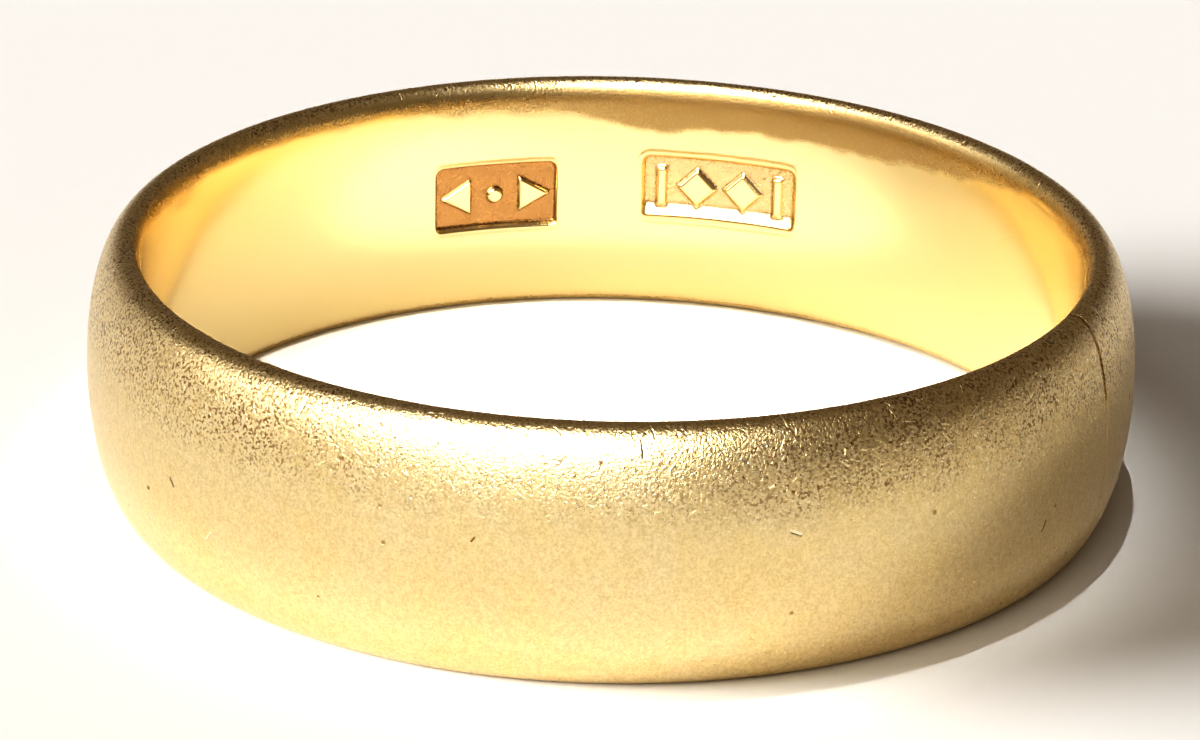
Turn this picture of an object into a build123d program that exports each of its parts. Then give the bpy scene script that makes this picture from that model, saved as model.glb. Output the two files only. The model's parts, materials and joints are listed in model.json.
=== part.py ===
"""A plain gold wedding band: a D-section strip bent round and closed with hard solder."""
from build123d import *
import math
import os

os.makedirs("parts", exist_ok=True)

# Driving dimensions, in millimetres. The lower rim stands on Z = 0 and the bore runs along +Z.
BORE_RADIUS = 9.5
BAND_WIDTH = 5.25
CROWN_THICKNESS = 1.15
EASE_DEPTH = 0.26
EASE_HEIGHT = 0.60
LAND_WIDTH = 0.08

# The butt joint: its middle lies this far round from +X, and the solder lies a hair below the gold.
JOINT_AZIMUTH = -24.0
JOINT_GAP = 0.10
SOLDER_SINK = 0.02

# The two marks struck in the bore wall: sunk cartouches with plain raised shapes, no lettering.
# An azimuth is measured round from +X, and a height is that of the cartouche's middle.
STAMP_DEPTH = 0.12
RELIEF_HEIGHT = 0.09
STAMP_CORNER = 0.16
WORKSHOP_AZIMUTH = 106.2
WORKSHOP_HEIGHT = 2.62
WORKSHOP_LENGTH = 2.75
WORKSHOP_TALL = 1.48
FINENESS_AZIMUTH = 75.7
FINENESS_HEIGHT = 2.82
FINENESS_LENGTH = 3.45
FINENESS_TALL = 1.40

# Sizes that follow from the ones above.
half_width = BAND_WIDTH / 2
land_start = BORE_RADIUS + EASE_DEPTH
crown_start = land_start + LAND_WIDTH
crown_rise = BORE_RADIUS + CROWN_THICKNESS - crown_start
joint_half_turn = math.degrees(math.asin(JOINT_GAP / 2 / BORE_RADIUS))


def radial_plane(azimuth):
    """The upright plane through the ring's axis: its X points outwards and its Y points up."""
    angle = math.radians(azimuth)
    outwards = (math.cos(angle), math.sin(angle), 0)
    along = (math.sin(angle), -math.cos(angle), 0)
    return Plane(origin=(0, 0, 0), x_dir=outwards, z_dir=along)


def d_section(azimuth, sink=0.0):
    """The strip's section: flat inside, half an ellipse outside, the bore's edges eased by worn
    quarter ellipses, and all of it drawn in by sink."""
    bore = BORE_RADIUS + sink
    low = sink
    high = BAND_WIDTH - sink
    with BuildSketch(radial_plane(azimuth)) as section:
        with BuildLine():
            Line((bore, EASE_HEIGHT), (bore, BAND_WIDTH - EASE_HEIGHT))
            EllipticalCenterArc(
                (land_start, BAND_WIDTH - EASE_HEIGHT),
                EASE_DEPTH - sink,
                EASE_HEIGHT - sink,
                start_angle=90,
                arc_size=90,
            )
            Line((land_start, high), (crown_start, high))
            EllipticalCenterArc(
                (crown_start, half_width),
                crown_rise - sink,
                half_width - sink,
                start_angle=-90,
                arc_size=180,
            )
            Line((crown_start, low), (land_start, low))
            EllipticalCenterArc(
                (land_start, EASE_HEIGHT),
                EASE_DEPTH - sink,
                EASE_HEIGHT - sink,
                start_angle=180,
                arc_size=90,
            )
        make_face()
    return section.sketch


def striking_plane(azimuth, height):
    """The plane across the bore, short of the wall, that a punch is pressed outwards from."""
    angle = math.radians(azimuth)
    outwards = (math.cos(angle), math.sin(angle), 0)
    along = (-math.sin(angle), math.cos(angle), 0)
    reach = BORE_RADIUS - 0.6
    return Plane(
        origin=(reach * outwards[0], reach * outwards[1], height), x_dir=along, z_dir=outwards
    )


def struck_mark(azimuth, height, length, tall, raised_shapes):
    """The metal that a punch pushes out of the wall: a cartouche less its raised shapes."""
    stroke = 1.0
    floor_radius = BORE_RADIUS + STAMP_DEPTH
    with BuildPart() as relief:
        with BuildSketch(striking_plane(azimuth, height)):
            raised_shapes()
        extrude(amount=stroke)
        Cylinder(radius=floor_radius - RELIEF_HEIGHT, height=4 * BAND_WIDTH, mode=Mode.SUBTRACT)
    with BuildPart() as mark:
        with BuildSketch(striking_plane(azimuth, height)):
            RectangleRounded(length, tall, STAMP_CORNER)
        extrude(amount=stroke)
        Cylinder(radius=floor_radius, height=4 * BAND_WIDTH, mode=Mode.INTERSECT)
        add(relief.part, mode=Mode.SUBTRACT)
    return mark.part


def workshop_shapes():
    """Two triangles pointing apart, with a pellet between them."""
    with Locations((-0.78, 0)):
        RegularPolygon(radius=0.46, side_count=3, rotation=180)
    with Locations((0.78, 0)):
        RegularPolygon(radius=0.46, side_count=3)
    Circle(0.17)


def fineness_shapes():
    """Two lozenges between a pair of upright bars."""
    with Locations((-1.32, 0), (1.32, 0)):
        Rectangle(0.20, 0.90)
    with Locations((-0.52, 0), (0.52, 0)):
        RegularPolygon(radius=0.44, side_count=4)


# Band: one strip of yellow gold, bent round until its ends all but meet, then struck inside.
with BuildPart() as band:
    add(d_section(JOINT_AZIMUTH + joint_half_turn))
    revolve(axis=Axis.Z, revolution_arc=360 - 2 * joint_half_turn)
    add(
        struck_mark(
            WORKSHOP_AZIMUTH, WORKSHOP_HEIGHT, WORKSHOP_LENGTH, WORKSHOP_TALL, workshop_shapes
        ),
        mode=Mode.SUBTRACT,
    )
    add(
        struck_mark(
            FINENESS_AZIMUTH, FINENESS_HEIGHT, FINENESS_LENGTH, FINENESS_TALL, fineness_shapes
        ),
        mode=Mode.SUBTRACT,
    )
band.part.label = "band"
export_step(band.part, "parts/band.step")

# Solder seam: the slip of hard gold solder that fills the butt joint and closes the ring.
with BuildPart() as solder_seam:
    add(d_section(JOINT_AZIMUTH - joint_half_turn, SOLDER_SINK))
    revolve(axis=Axis.Z, revolution_arc=2 * joint_half_turn)
solder_seam.part.label = "solder_seam"
export_step(solder_seam.part, "parts/solder_seam.step")
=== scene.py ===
import json
import math

import bpy
import numpy as np
from mathutils import Matrix, Vector


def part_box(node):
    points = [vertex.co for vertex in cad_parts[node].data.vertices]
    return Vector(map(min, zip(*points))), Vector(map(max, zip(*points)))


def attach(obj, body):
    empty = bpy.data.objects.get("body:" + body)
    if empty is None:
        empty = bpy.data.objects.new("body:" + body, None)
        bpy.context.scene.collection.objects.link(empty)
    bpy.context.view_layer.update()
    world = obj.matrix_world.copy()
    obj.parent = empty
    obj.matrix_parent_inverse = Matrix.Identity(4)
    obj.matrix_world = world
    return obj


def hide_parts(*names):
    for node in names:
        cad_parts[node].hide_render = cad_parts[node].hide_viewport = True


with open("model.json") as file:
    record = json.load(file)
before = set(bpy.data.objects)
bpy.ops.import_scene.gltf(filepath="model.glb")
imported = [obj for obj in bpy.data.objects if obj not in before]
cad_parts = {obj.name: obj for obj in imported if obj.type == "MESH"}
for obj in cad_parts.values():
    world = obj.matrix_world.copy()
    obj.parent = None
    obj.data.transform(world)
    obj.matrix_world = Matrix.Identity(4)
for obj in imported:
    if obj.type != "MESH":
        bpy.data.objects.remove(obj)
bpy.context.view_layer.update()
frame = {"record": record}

# ------------------------------------------------------------------------------------------------
# Band. One strip of yellow gold with a D-shaped section, flat inside and half an ellipse outside,
# bent round a mandrel until its ends all but meet. Years on a hand have left the outside satin
# and the bore polished, and two workshop marks are struck in the bore's far wall.

MM = 0.001
bore_mount = next(m for m in frame["record"]["mounts"] if m["name"] == "finger_hole")
band_low, band_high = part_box("band")
BORE = bore_mount["dims"]["r_mm"]
WIDTH = (band_high[2] - band_low[2]) / MM
CROWN = (band_high[0] - band_low[0]) / 2 / MM
MIDDLE = WIDTH / 2
EASE_DEPTH = 0.26
EASE_HEIGHT = 0.60
LAND = 0.08
LAND_START = BORE + EASE_DEPTH
CROWN_START = LAND_START + LAND
CROWN_RISE = CROWN - CROWN_START

# The butt joint, seen from above, lies this far round from +X.
JOINT_AZIMUTH = math.radians(-24.0)
JOINT_GAP = 0.10
joint_half_turn = math.asin(JOINT_GAP / 2 / BORE)

# The struck marks: where each stands on the wall, its size, and how crisp the punch left it.
WORKSHOP_MARK = {
    "azimuth": 106.2,
    "height": 2.62,
    "length": 2.75,
    "tall": 1.48,
    "slope": 0.07,
    "foot": 0.07,
}
FINENESS_MARK = {
    "azimuth": 75.7,
    "height": 2.82,
    "length": 3.45,
    "tall": 1.40,
    "slope": 0.13,
    "foot": 0.30,
}
MARK_DEPTH = 0.12
MARK_RELIEF = 0.09
MARK_CORNER = 0.16
MARK_MARGIN = 0.30
MARK_LIP = 0.008
MARK_LIP_WIDTH = 0.05


def ease_in(value):
    """Nought to one with no corner at either end."""
    held = np.clip(value, 0.0, 1.0)
    return held * held * (3.0 - 2.0 * held)


def spread(stops):
    """Rows or columns from (place, step to the next place) pairs, each stretch evenly divided."""
    places = []
    for (start, step), (end, _) in zip(stops, stops[1:]):
        count = max(1, round((end - start) / step))
        places.extend(np.linspace(start, end, count, endpoint=False))
    return np.array(places + [stops[-1][0]])


def oval(radius, height, axes, turn):
    """A point on an ellipse round (radius, height), and the way out of it."""
    out, up = math.cos(turn), math.sin(turn)
    steep = math.hypot(out / axes[0], up / axes[1])
    place = (radius + axes[0] * out, height + axes[1] * up)
    return place + (out / axes[0] / steep, up / axes[1] / steep)


# Steps of the skin round the section: plain wall, struck wall, bore edge and crown.
WALL_STEP = 0.11
MARK_STEP = 0.032
EASE_STEPS = 13
CROWN_STEPS = 53


def section_rows():
    """Round the section, down the bore and up the crown, so that the skin faces out of the metal:
    radius, height and the way out of it."""
    marks = (WORKSHOP_MARK, FINENESS_MARK)
    foot = min(m["height"] - m["tall"] / 2 for m in marks) - MARK_MARGIN
    head = max(m["height"] + m["tall"] / 2 for m in marks) + MARK_MARGIN
    heights = spread(
        [
            (EASE_HEIGHT, WALL_STEP),
            (foot, MARK_STEP),
            (head, WALL_STEP),
            (WIDTH - EASE_HEIGHT, WALL_STEP),
        ]
    )
    rows = [(BORE, z, -1.0, 0.0) for z in heights]
    ease = (EASE_DEPTH, EASE_HEIGHT)
    half = (CROWN_RISE, MIDDLE)
    quarter = np.linspace(0.0, math.pi / 2, EASE_STEPS)[1:]
    rows += [oval(LAND_START, WIDTH - EASE_HEIGHT, ease, math.pi - t) for t in quarter]
    rows.append(((LAND_START + CROWN_START) / 2, WIDTH, 0.0, 1.0))
    crown = np.linspace(math.pi / 2, -math.pi / 2, CROWN_STEPS)
    rows += [oval(CROWN_START, MIDDLE, half, t) for t in crown]
    rows.append(((LAND_START + CROWN_START) / 2, 0.0, 0.0, -1.0))
    rows += [oval(LAND_START, EASE_HEIGHT, ease, -math.pi / 2 - t) for t in [0.0, *quarter[:-1]]]
    return np.array(rows)[::-1]


def polygon_edge(across, up, corners, radius, turn=0.0):
    """How far a point lies outside a regular polygon whose first corner points along turn."""
    flats = [turn + (2 * i + 1) * math.pi / corners for i in range(corners)]
    reach = [across * math.cos(a) + up * math.sin(a) for a in flats]
    return np.max(reach, axis=0) - radius * math.cos(math.pi / corners)


def bar_edge(across, up, wide, tall, corner=0.0):
    """How far a point lies outside an upright bar with round corners."""
    out_x = np.abs(across) - wide / 2 + corner
    out_y = np.abs(up) - tall / 2 + corner
    outside = np.hypot(np.maximum(out_x, 0.0), np.maximum(out_y, 0.0))
    return outside + np.minimum(np.maximum(out_x, out_y), 0.0) - corner


def workshop_shapes(across, up):
    """Two triangles pointing apart, with a pellet between them."""
    left = polygon_edge(across + 0.78, up, 3, 0.46, math.pi)
    right = polygon_edge(across - 0.78, up, 3, 0.46)
    pellet = np.hypot(across, up) - 0.17
    return np.minimum(np.minimum(left, right), pellet)


def fineness_shapes(across, up):
    """Two lozenges between a pair of upright bars."""
    bars = bar_edge(np.abs(across) - 1.32, up, 0.20, 0.90, 0.04)
    lozenges = polygon_edge(np.abs(across) - 0.52, up, 4, 0.44)
    return np.minimum(bars, lozenges)


def struck(angle, height, mark, shapes):
    """How deep a punch has pushed the wall in, less its raised shapes, plus the lip it threw up."""
    across = (angle - math.radians(mark["azimuth"])) * BORE
    up = height - mark["height"]
    slope = mark["slope"]
    edge = bar_edge(across, up, mark["length"], mark["tall"], MARK_CORNER)
    foot = np.clip((up + mark["tall"] / 2) / mark["foot"], 0.0, 1.0)
    pocket = ease_in(0.5 - edge / slope) * foot
    raised = ease_in(0.5 - shapes(across, up) / (0.8 * slope))
    lip = np.exp(-(((edge - 0.8 * slope) / MARK_LIP_WIDTH) ** 2))
    return MARK_DEPTH * pocket - MARK_RELIEF * raised * pocket - MARK_LIP * lip


def wander(angle, *waves):
    """A slow, closed wobble round the ring, from (turns, size, phase) waves."""
    return sum(size * np.sin(turns * angle + phase) for turns, size, phase in waves)


# How far use has opened the bore at its two edges, and how soon that dies away.
FLARE = 0.014
FLARE_REACH = 0.35


def wear(angle, height, out):
    """What years of use took off or pushed about, along the way out of the metal."""
    outside = ease_in(out)
    inside = ease_in(-out)
    hand_made = wander(angle, (2, 0.010, 0.4), (3, 0.008, 1.9), (5, 0.005, 4.1))
    rocking = wander(angle, (4, 0.006, 0.9), (7, 0.004, 2.6)) * (height - MIDDLE) / MIDDLE
    rim = np.minimum(height, WIDTH - height)
    rubbed = FLARE + wander(angle, (2, 0.005, 2.2), (5, 0.004, 0.3))
    flare = rubbed * np.exp(-np.maximum(rim - EASE_HEIGHT, 0.0) / FLARE_REACH)
    return outside * (hand_made + rocking) - inside * flare


def ring_grid(angles, rows, shaped):
    """The points of a swept section, a column for each angle."""
    angle, _ = np.meshgrid(angles, rows[:, 0], indexing="ij")
    radius, height, out, up = (np.broadcast_to(rows[:, i], angle.shape) for i in range(4))
    shift = shaped(angle, height, out)
    radius = radius + out * shift
    height = height + up * shift
    points = np.stack([radius * np.cos(angle), radius * np.sin(angle), height], axis=-1)
    return points * MM


# The flat layout: sheets of the strip on the left, the two caps as ovals down the right edge.
SHEET_WIDTH = 0.96
SHEET_GAP = 0.008
CAP_MIDDLE = (0.982, 0.25)
CAP_SIZE = (0.01, 0.2)
CAP_APART = (0.0, 0.5)


def strip_mesh(name, points, rows, sheets):
    """A closed skin over a grid whose rows run round the section and whose two ends are capped.
    Its flat layout is cut into a few sheets along the strip, one above another."""
    columns, around, _ = points.shape
    index = np.arange(columns * around).reshape(columns, around)
    a = index[:-1, :]
    b = index[1:, :]
    quads = np.stack([a, b, np.roll(b, -1, axis=1), np.roll(a, -1, axis=1)], axis=-1)
    faces = [tuple(q) for q in quads.reshape(-1, 4).tolist()]
    faces.append(tuple(index[0, :].tolist()))
    faces.append(tuple(index[-1, ::-1].tolist()))
    mesh = bpy.data.meshes.new(name)
    mesh.from_pydata(points.reshape(-1, 3).tolist(), [], faces)

    steps = np.hypot(*(np.roll(rows[:, :2], -1, axis=0) - rows[:, :2]).T)
    across = np.concatenate([[0.0], np.cumsum(steps)]) / steps.sum()
    turned = np.unwrap(np.arctan2(points[:, 0, 1], points[:, 0, 0]))
    travel = (turned - turned[0]) / (turned[-1] - turned[0])
    sheet = np.minimum((0.5 * (travel[:-1] + travel[1:]) * sheets).astype(int), sheets - 1)

    def laid(column, row):
        wide = SHEET_WIDTH - 2 * SHEET_GAP
        tall = 1.0 / sheets - 2 * SHEET_GAP
        u = SHEET_GAP + wide * (travel[column] * sheets - sheet_of)
        v = SHEET_GAP + sheet_of / sheets + tall * across[row]
        return np.stack([u, v], axis=-1)

    sheet_of = np.repeat(sheet[:, None], around, axis=1)
    column, row = np.meshgrid(np.arange(columns - 1), np.arange(around), indexing="ij")
    corners = [
        laid(column, row),
        laid(column + 1, row),
        laid(column + 1, row + 1),
        laid(column, row + 1),
    ]
    flat = np.stack(corners, axis=2).reshape(-1, 2)
    turn = np.linspace(0.0, 2 * math.pi, around, endpoint=False)
    round_cap = np.stack([np.cos(turn), np.sin(turn)], axis=-1)
    cap = np.array(CAP_MIDDLE) + np.array(CAP_SIZE) * round_cap
    flat = np.concatenate([flat, cap, cap + np.array(CAP_APART)])
    layer = mesh.uv_layers.new(name="OFBake")
    layer.data.foreach_set("uv", flat.astype(np.float32).ravel())
    smooth = np.ones(len(faces), dtype=bool)
    smooth[-2:] = False
    mesh.polygons.foreach_set("use_smooth", smooth)
    mesh.update()
    piece = bpy.data.objects.new(name, mesh)
    bpy.context.scene.collection.objects.link(piece)
    return piece


def band_shape(angle, height, out):
    """All that departs from the plain swept section: the struck marks and the wear."""
    wall = ease_in(-out * 4 - 3)
    marks = struck(angle, height, WORKSHOP_MARK, workshop_shapes)
    marks = marks + struck(angle, height, FINENESS_MARK, fineness_shapes)
    return wear(angle, height, out) - wall * marks


# Steps of the skin round the ring, in degrees: plain, struck, and close to the joint.
COARSE_TURN = 1.2
FINE_TURN = 0.175
END_TURN = 0.1
END_REACH = 0.5
MARK_MARGIN_TURN = 1.8


def half_turn_of(mark):
    """Half a mark's length with its margin, in degrees of the bore."""
    return math.degrees(mark["length"] / 2 / BORE) + MARK_MARGIN_TURN


mark_start = FINENESS_MARK["azimuth"] - half_turn_of(FINENESS_MARK)
mark_end = WORKSHOP_MARK["azimuth"] + half_turn_of(WORKSHOP_MARK)
joint_start = math.degrees(JOINT_AZIMUTH + joint_half_turn)
joint_end = 360 + math.degrees(JOINT_AZIMUTH - joint_half_turn)
band_angles = spread(
    [
        (joint_start, END_TURN),
        (joint_start + END_REACH, COARSE_TURN),
        (mark_start, FINE_TURN),
        (mark_end, COARSE_TURN),
        (joint_end - END_REACH, END_TURN),
        (joint_end, END_TURN),
    ]
)
band_rows = section_rows()
band = strip_mesh(
    "gold_band",
    ring_grid(np.radians(band_angles), band_rows, band_shape),
    band_rows,
    sheets=2,
)


class Wire:
    """One output of a shader node, which can be used in a sum as a number can."""

    def __init__(self, tree, socket=None):
        self.tree = tree
        self.socket = socket

    def node(self, kind, settings=None, values=None, out=0):
        """Adds a node, sets it up, feeds its sockets and gives back one of its outputs."""
        made = self.tree.nodes.new("ShaderNode" + kind)
        for name, value in (settings or {}).items():
            setattr(made, name, value)
        for name, value in (values or {}).items():
            if isinstance(value, Wire):
                self.tree.links.new(value.socket, made.inputs[name])
            else:
                made.inputs[name].default_value = value
        return Wire(self.tree, made.outputs[out])

    def other(self, name):
        """Another output of the same node."""
        return Wire(self.tree, self.socket.node.outputs[name])

    def reckon(self, operation, *values):
        return self.node("Math", {"operation": operation}, dict(enumerate(values)))

    def __add__(self, value):
        return self.reckon("ADD", self, value)

    __radd__ = __add__

    def __sub__(self, value):
        return self.reckon("SUBTRACT", self, value)

    def __rsub__(self, value):
        return self.reckon("SUBTRACT", value, self)

    def __mul__(self, value):
        return self.reckon("MULTIPLY", self, value)

    __rmul__ = __mul__

    def __truediv__(self, value):
        return self.reckon("DIVIDE", self, value)

    def __abs__(self):
        return self.reckon("ABSOLUTE", self)

    def rise(self, low, high):
        """Nought at low, one at high, and no corner between."""
        settings = {"interpolation_type": "SMOOTHSTEP"}
        return self.node("MapRange", settings, {"Value": self, "From Min": low, "From Max": high})

    def vector(self, operation, *values, out=0):
        """Vector Math on this and the values."""
        fed = dict(enumerate((self, *values)))
        return self.node("VectorMath", {"operation": operation}, fed, out)

    def tint(self, under, over):
        """The under colour turning to the over colour as this goes from nought to one."""
        settings = {"data_type": "RGBA"}
        return self.node("Mix", settings, {0: self, 6: under, 7: over}, out=2)


def noise(place, per_mm, detail=2.0, rough=0.5):
    """Soft cloudy noise about one half, with so many features to the millimetre."""
    values = {"Vector": place, "Scale": per_mm, "Detail": detail, "Roughness": rough}
    return place.node("TexNoise", {"noise_dimensions": "3D"}, values)


def cell(place, size, drift):
    """Scattered points about size millimetres apart: the way to the nearest, and its own chance."""
    moved = place.vector("ADD", drift)
    scaled = moved.node("VectorMath", {"operation": "SCALE"}, {0: moved, "Scale": 1.0 / size})
    nearest = place.node("TexVoronoi", {"feature": "F1"}, {"Vector": scaled, "Scale": 1.0})
    away = scaled.vector("SUBTRACT", nearest.other("Position"))
    return away, nearest.other("Color")


def pits(place, size, radius, drift):
    """Small round pits of mixed size, one where a scattered point happens to touch the skin."""
    away, chance = cell(place, size, drift)
    reach = away.vector("LENGTH", out="Value") * size
    own = chance.node("SeparateColor", values={0: chance}) * 0.7 + 0.3
    return 1 - (reach / (own * radius)).rise(0.4, 1.0)


def scratches(place, size, length, width, drift, share=0.6):
    """Short straight scratches lying every way, each where a random plane cuts the skin."""
    away, chance = cell(place, size, drift)
    lean = chance.vector("SUBTRACT", (0.5, 0.5, 0.5)).vector("NORMALIZE")
    off_line = abs(away.vector("DOT_PRODUCT", lean, out="Value")) * size
    along = away.vector("LENGTH", out="Value") * size
    line = 1 - (off_line / width).rise(0.2, 1.0)
    ends = 1 - (along / length).rise(0.6, 1.0)
    lot = chance.node("SeparateColor", values={0: chance}, out=1).rise(1.0 - share, 1.2 - share)
    return line * ends * lot


def nick(place, azimuth, height, lean, length, width):
    """One mark of the outside: a short stroke that leans so many degrees from level."""
    turn, tilt = math.radians(azimuth), math.radians(lean)
    radius = CROWN_START + CROWN_RISE * math.sqrt(1 - (height / MIDDLE - 1) ** 2)
    middle = (radius * math.cos(turn), radius * math.sin(turn), height)
    sideways = (math.sin(tilt) * math.sin(turn), -math.sin(tilt) * math.cos(turn), math.cos(tilt))
    away = place.vector("SUBTRACT", middle)
    off_line = abs(away.vector("DOT_PRODUCT", sideways, out="Value"))
    along = away.vector("LENGTH", out="Value")
    across = 1 - off_line.rise(0.1 * width, 0.6 * width)
    ends = 1 - along.rise(0.35 * length, 0.55 * length)
    return across * ends


# How high the highest nick may stand, and how far below it the lowest may be.
NICK_TOP = 5.15
NICK_SPAN = 4.0


def scattered_nicks(chance, count, crowding, longest, widest):
    """Marks of their own, one in each equal share of the ring, as (azimuth, height, lean, length,
    width) in degrees and millimetres. The more crowding, the more of them on the upper shoulder."""
    azimuth = (np.arange(count) + chance.random(count)) * 360.0 / count
    height = NICK_TOP - NICK_SPAN * chance.random(count) ** crowding
    lean = chance.uniform(-90.0, 90.0, count)
    length = chance.uniform(0.12, longest, count)
    width = np.minimum(chance.uniform(0.05, widest, count), length)
    return np.stack([azimuth, height, lean, length, width], axis=-1).tolist()


chance = np.random.default_rng(11)
DARK_NICKS = scattered_nicks(chance, 10, 1.0, 0.30, 0.15)
BRIGHT_NICKS = scattered_nicks(chance, 20, 2.5, 0.60, 0.10)


DULL_GOLD = (0.60, 0.43, 0.19, 1.0)
# The brown of dirt, which also carries the painted shade of the crowded specks.
OLD_DIRT_AND_SHADE = (0.29, 0.155, 0.045, 1.0)
# The pale of the painted glints on the outside.
GLINT_PALE = (1.0, 0.86, 0.60, 1.0)
# The brown of the painted shade along the top of the bore.
LIP_SHADE = (0.38, 0.26, 0.11, 1.0)
# The brown of dirt and painted shade in the struck marks.
MARK_GRIME_AND_SHADE = (0.36, 0.165, 0.045, 1.0)
MICRON = 0.001 * MM


def gold_finish(name, metal, dirt):
    """Worn yellow gold: satin and scratched outside, polished in the bore, brown in its hollows,
    with painted shade and painted glints.
    """
    material = bpy.data.materials.new(name)
    material.use_nodes = True
    tree = material.node_tree
    shader = tree.nodes["Principled BSDF"]
    start = Wire(tree)
    metres = start.node("TexCoord", out="Object")
    place = start.node("VectorMath", {"operation": "SCALE"}, {0: metres, "Scale": 1.0 / MM})
    parts = start.node("SeparateXYZ", values={0: place})
    flat = start.node("CombineXYZ", values={0: parts, 1: parts.other("Y"), 2: 0.0})
    radius = flat.vector("LENGTH", out="Value")
    height = parts.other("Z")
    outside = radius.rise(BORE + 0.02, BORE + 0.16)
    inside = 1 - outside
    upper = height.rise(2.9, 4.2) * outside

    cloud = noise(place, 0.45, 3.0)
    patch = noise(place, 1.6, 3.0)
    dimple = noise(place, 7.0, 2.0, 0.6)
    grain = noise(place, 18.0, 2.0, 0.6)
    speck = noise(place.vector("ADD", (5.0, 3.0, 8.0)), 16.0, 2.0)
    glint_noise = noise(place.vector("ADD", (2.0, 9.0, 4.0)), 12.0, 1.0)
    fine_pits = pits(place, 0.20, 0.07, (3.1, 7.7, 1.9))
    deep_pits = pits(place, 0.85, 0.07, (9.2, 2.4, 5.5))
    short_marks = scratches(place, 0.42, 0.20, 0.026, (1.3, 4.4, 8.1))
    cross_marks = scratches(place, 0.30, 0.15, 0.022, (6.1, 0.7, 3.3))
    long_marks = scratches(place, 2.2, 1.15, 0.022, (2.9, 5.9, 7.2))
    dark_nicks = sum(nick(place, *each) for each in DARK_NICKS) * outside
    bright_nicks = sum(nick(place, *each) for each in BRIGHT_NICKS) * outside

    # The upper shoulder is the busiest; the bore has only faint long scratches.
    busy = outside * (0.36 + 0.64 * upper)
    uneven = 0.55 + 0.9 * (patch.rise(0.35, 0.65) * 0.6 + cloud.rise(0.4, 0.6) * 0.4)
    # The dark specks are dirt, but their crowding on the upper shoulder and towards the left and
    # right sides is painted shade.
    shade_sides = abs(parts + 1.2).rise(1.0, 6.0)
    specks_and_shade = speck.rise(0.50, 0.60) * outside * (0.16 + (0.45 + 0.6 * shade_sides) * upper) * uneven
    glints = glint_noise.rise(0.60, 0.68) * busy
    pitted = fine_pits * busy
    hollow = deep_pits * outside
    scored = (short_marks + cross_marks) * busy
    faint = long_marks * (0.25 + 0.75 * outside)

    dark = specks_and_shade * 0.58 + pitted * 0.35 + hollow * 0.65 + scored * 0.10 + faint * 0.12
    dark = dark + dark_nicks + upper * dirt
    worn = (cloud.rise(0.35, 0.65) * 0.5 + patch.rise(0.35, 0.65) * 0.5) * outside
    colour = worn.tint(metal, (metal[0], metal[1] * 1.04, metal[2] * 1.18, 1.0))
    mottle = (grain.rise(0.62, 0.38) * 0.28 + dimple.rise(0.62, 0.38) * 0.16) * outside
    colour = mottle.tint(colour, DULL_GOLD)
    colour = (inside * 0.6).tint(colour, (1.0, metal[1] * 1.08, metal[2] * 1.10, 1.0))
    colour = dark.rise(0.0, 1.1).tint(colour, OLD_DIRT_AND_SHADE)
    # Painted glints: the bright nicks and the scattered glint spots are painted paler than the
    # gold, and are smoother too.
    colour = (glints * 0.5 + bright_nicks).rise(0.0, 1.0).tint(colour, GLINT_PALE)

    # Painted shade: a dull brown band along the top of the bore, thickest at the back towards the
    # right. The same band is also rougher and more grained.
    shade_sweep = parts.rise(-7.0, 3.0) * (1 - parts.rise(5.5, 9.2)) * parts.other("Y").rise(0.0, 3.0)
    shade_band_foot = WIDTH - 0.42 - 0.62 * shade_sweep - (cloud - 0.5) * 0.9
    lip = (height - shade_band_foot).rise(-0.16, 0.12) * (1 - radius.rise(BORE + 0.06, BORE + 0.15))
    lip = lip * (0.45 + 0.55 * shade_sweep) * (0.65 + 0.7 * grain)
    colour = lip.rise(0.0, 1.0).tint(colour, LIP_SHADE)

    # Old polish and dirt, with painted shade, in the floors of the struck marks, less of both in
    # the second one.
    sunk = radius.rise(BORE + 0.05, BORE + 0.10) * (1 - radius.rise(BORE + 0.16, BORE + 0.2))
    grime_and_shade = sunk * (1 - abs(height - MIDDLE).rise(1.3, 1.6)) * (1 - 0.55 * parts.rise(0.0, 1.0))
    colour = (grime_and_shade * 0.9).tint(colour, MARK_GRIME_AND_SHADE)

    rough = 0.18 + outside * (0.11 + 0.1 * dirt) + worn * 0.05 + scored * 0.08 + lip * 0.16
    rough = rough + (grain - 0.5) * 0.15 - (glints + bright_nicks) * 0.10
    relief = (
        (grain - 0.5) * (0.3 + 16.0 * busy + 8.0 * lip)
        + (dimple - 0.5) * (0.6 + 5.0 * busy)
        + (patch - 0.5) * (1.0 + 4.0 * outside)
        - pitted * 5.0
        - hollow * 12.0
        - scored * 5.0
        - faint * 3.0
        - (dark_nicks + bright_nicks) * 10.0
    )
    pressed = {"Strength": 1.0, "Distance": MICRON, "Height": relief}
    bump = start.node("Bump", values=pressed)
    tree.links.new(colour.socket, shader.inputs["Base Color"])
    tree.links.new(rough.socket, shader.inputs["Roughness"])
    tree.links.new(bump.socket, shader.inputs["Normal"])
    shader.inputs["Metallic"].default_value = 1.0
    return material


GOLD = (0.95, 0.76, 0.405, 1.0)
band.data.materials.append(gold_finish("worn_yellow_gold", GOLD, 0.0))
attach(band, "root")
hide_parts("band")

# ------------------------------------------------------------------------------------------------
# Solder seam. The slip of hard gold solder that closes the butt joint, filed flush when new.
# Near the upper shoulder it has worn down below the gold, which leaves a short dark hairline.

SEAM_SINK = 0.002
SEAM_WORN = 0.05
HAIRLINE_FOOT = 3.45
HAIRLINE_HEAD = 4.85
HAIRLINE_FADE = 0.3
SEAM_COLUMNS = 6
SOLDER = (0.91, 0.72, 0.385, 1.0)


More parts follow.
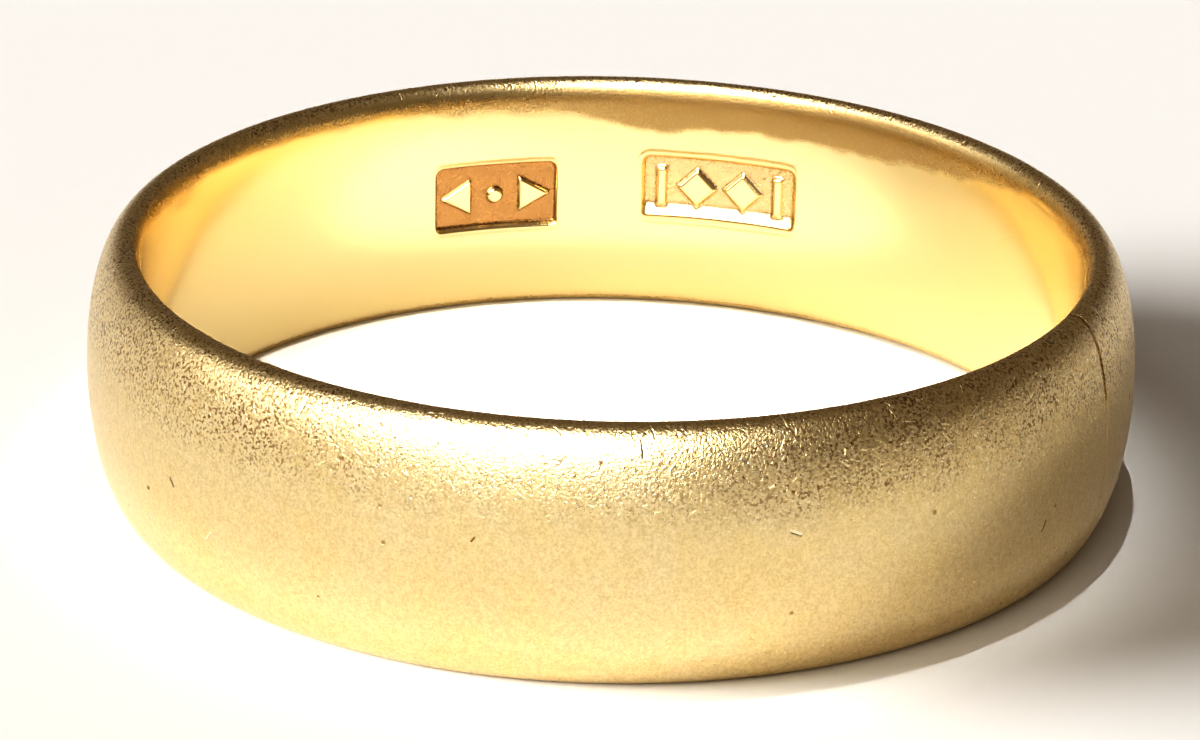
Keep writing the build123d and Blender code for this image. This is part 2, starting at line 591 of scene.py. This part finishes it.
def seam_shape(angle, height, out):
    """The seam lies a hair below the gold, and deeper along the upper shoulder."""
    above_foot = ease_in((height - HAIRLINE_FOOT) / HAIRLINE_FADE)
    below_head = ease_in((HAIRLINE_HEAD - height) / HAIRLINE_FADE)
    worn = above_foot * below_head * ease_in(out)
    return wear(angle, height, out) - SEAM_SINK - SEAM_WORN * worn


seam_angles = JOINT_AZIMUTH + np.linspace(-joint_half_turn, joint_half_turn, SEAM_COLUMNS)
solder_seam = strip_mesh(
    "solder_joint", ring_grid(seam_angles, band_rows, seam_shape), band_rows, sheets=1
)
solder_seam.data.materials.append(gold_finish("hard_gold_solder", SOLDER, 0.9))
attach(solder_seam, "root")
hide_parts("solder_seam")

# ------------------------------------------------------------------------------------------------
# Table. A plain pale surface, much wider than the ring, for it to stand on.

REACH = 3.0
PALE = (0.74, 0.73, 0.71, 1.0)
floor_mesh = bpy.data.meshes.new("table")
floor_mesh.from_pydata(
    [(-REACH, -REACH, 0), (REACH, -REACH, 0), (REACH, REACH, 0), (-REACH, REACH, 0)],
    [],
    [(0, 1, 2, 3)],
)
floor = bpy.data.objects.new("table", floor_mesh)
bpy.context.scene.collection.objects.link(floor)
paper = bpy.data.materials.new("pale_paper")
paper.use_nodes = True
paper_shader = paper.node_tree.nodes["Principled BSDF"]
paper_shader.inputs["Base Color"].default_value = PALE
paper_shader.inputs["Roughness"].default_value = 0.85
floor_mesh.materials.append(paper)

# ------------------------------------------------------------------------------------------------
# Light. A dim warm tent, brighter low down on the left, with a pale backdrop behind the ring. The
# metal mirrors one wide soft box above the front left and a low one at the left. Two far soft
# lamps and a narrow one straight above light the table, and the metal doesn't mirror those.

world = bpy.data.worlds.new("tent")
bpy.context.scene.world = world
world.use_nodes = True
sky = Wire(world.node_tree)
way = sky.node("TexCoord", out="Generated")
across = sky.node("SeparateXYZ", values={0: way})
low_sky = 1 - across.other("Z").rise(0.04, 0.34)
left = 1 - across.rise(-0.8, 0.4)
DIM = (0.120, 0.092, 0.064, 1.0)
HAZE = (0.34, 0.30, 0.26, 1.0)
BACKDROP = (0.62, 0.615, 0.60, 1.0)
dome = (low_sky * (0.12 + 0.88 * left)).tint(DIM, HAZE)
seen = sky.node("LightPath", out="Is Camera Ray")
dome = seen.tint(dome, BACKDROP)
backing = world.node_tree.nodes["Background"]
world.node_tree.links.new(dome.socket, backing.inputs["Color"])
backing.inputs["Strength"].default_value = 1.0
bpy.context.scene.view_settings.view_transform = "Standard"
bpy.context.scene.view_settings.look = "High Contrast"

ring_middle = Vector((0.0, 0.0, MIDDLE * MM))


def soft_box(name, place, wide, tall, glow):
    """A soft box that faces the ring and is only mirrored, as bright as its glow says."""
    lamp = bpy.data.lights.new(name, "AREA")
    lamp.shape = "RECTANGLE"
    lamp.size = wide
    lamp.size_y = tall
    lamp.energy = glow * math.pi * wide * tall
    box = bpy.data.objects.new(name, lamp)
    box.location = place
    box.rotation_euler = (ring_middle - Vector(place)).to_track_quat("-Z", "Y").to_euler()
    box.visible_camera = False
    box.visible_diffuse = False
    bpy.context.scene.collection.objects.link(box)


def aimed(azimuth, elevation, distance):
    """A place so far from the ring; the azimuth is counted from the front, and left is minus."""
    turn, lift = math.radians(azimuth), math.radians(elevation)
    flat = distance * math.cos(lift)
    return (flat * math.sin(turn), -flat * math.cos(turn), distance * math.sin(lift))


def sun(name, azimuth, elevation, glow, spread_angle):
    """A far, soft lamp that lights the table and what stands on it, but isn't mirrored in metal."""
    lamp = bpy.data.lights.new(name, "SUN")
    lamp.energy = glow
    lamp.angle = math.radians(spread_angle)
    far = bpy.data.objects.new(name, lamp)
    far.rotation_euler = Vector(aimed(azimuth, elevation, -1.0)).to_track_quat("-Z", "Y").to_euler()
    far.visible_glossy = False
    bpy.context.scene.collection.objects.link(far)


def pool(name, height, reach, glow):
    """A narrow lamp straight above, which lights the table inside the ring."""
    lamp = bpy.data.lights.new(name, "SPOT")
    lamp.energy = glow
    lamp.spot_size = 2 * math.atan(reach / height)
    lamp.spot_blend = 0.25
    lamp.shadow_soft_size = 0.004
    above = bpy.data.objects.new(name, lamp)
    above.location = (0.0, 0.0, height)
    above.visible_glossy = False
    bpy.context.scene.collection.objects.link(above)


soft_box("front", aimed(-24, 41, 1.0), 1.02, 0.66, 7.0)
soft_box("left", aimed(-84, 21, 1.0), 0.50, 0.20, 4.0)
sun("front_fill", -35, 45, 0.6, 60)
sun("left_key", -84, 13, 9.4, 30)
pool("inner_pool", 0.15, 0.0097, 1.5)

# ------------------------------------------------------------------------------------------------
# Camera. A long lens close by, a little above the ring and tilted by about a degree.

LENS = 135.0
DISTANCE = 0.0921
ELEVATION = 0.3871
ROLL = 0.0214
SHIFT_RIGHT = 0.00022
SHIFT_UP = 0.00035
eye_way = Vector((0.0, math.cos(ELEVATION), -math.sin(ELEVATION)))
level = Vector((1.0, 0.0, 0.0))
upright = level.cross(eye_way)
right = math.cos(ROLL) * level + math.sin(ROLL) * upright
up = math.cos(ROLL) * upright - math.sin(ROLL) * level
eye = ring_middle - eye_way * DISTANCE
aim = ring_middle - right * SHIFT_RIGHT - up * SHIFT_UP
forward = (aim - eye).normalized()
side = forward.cross(up).normalized()
top = side.cross(forward)
turned = Matrix((side, top, -forward)).transposed().to_4x4()
lens = bpy.data.cameras.new("camera")
lens.lens = LENS
lens.sensor_width = 36.0
lens.clip_start = 0.005
lens.clip_end = 20.0
camera = bpy.data.objects.new("camera", lens)
camera.matrix_world = Matrix.Translation(eye) @ turned
bpy.context.scene.collection.objects.link(camera)
bpy.context.scene.camera = camera
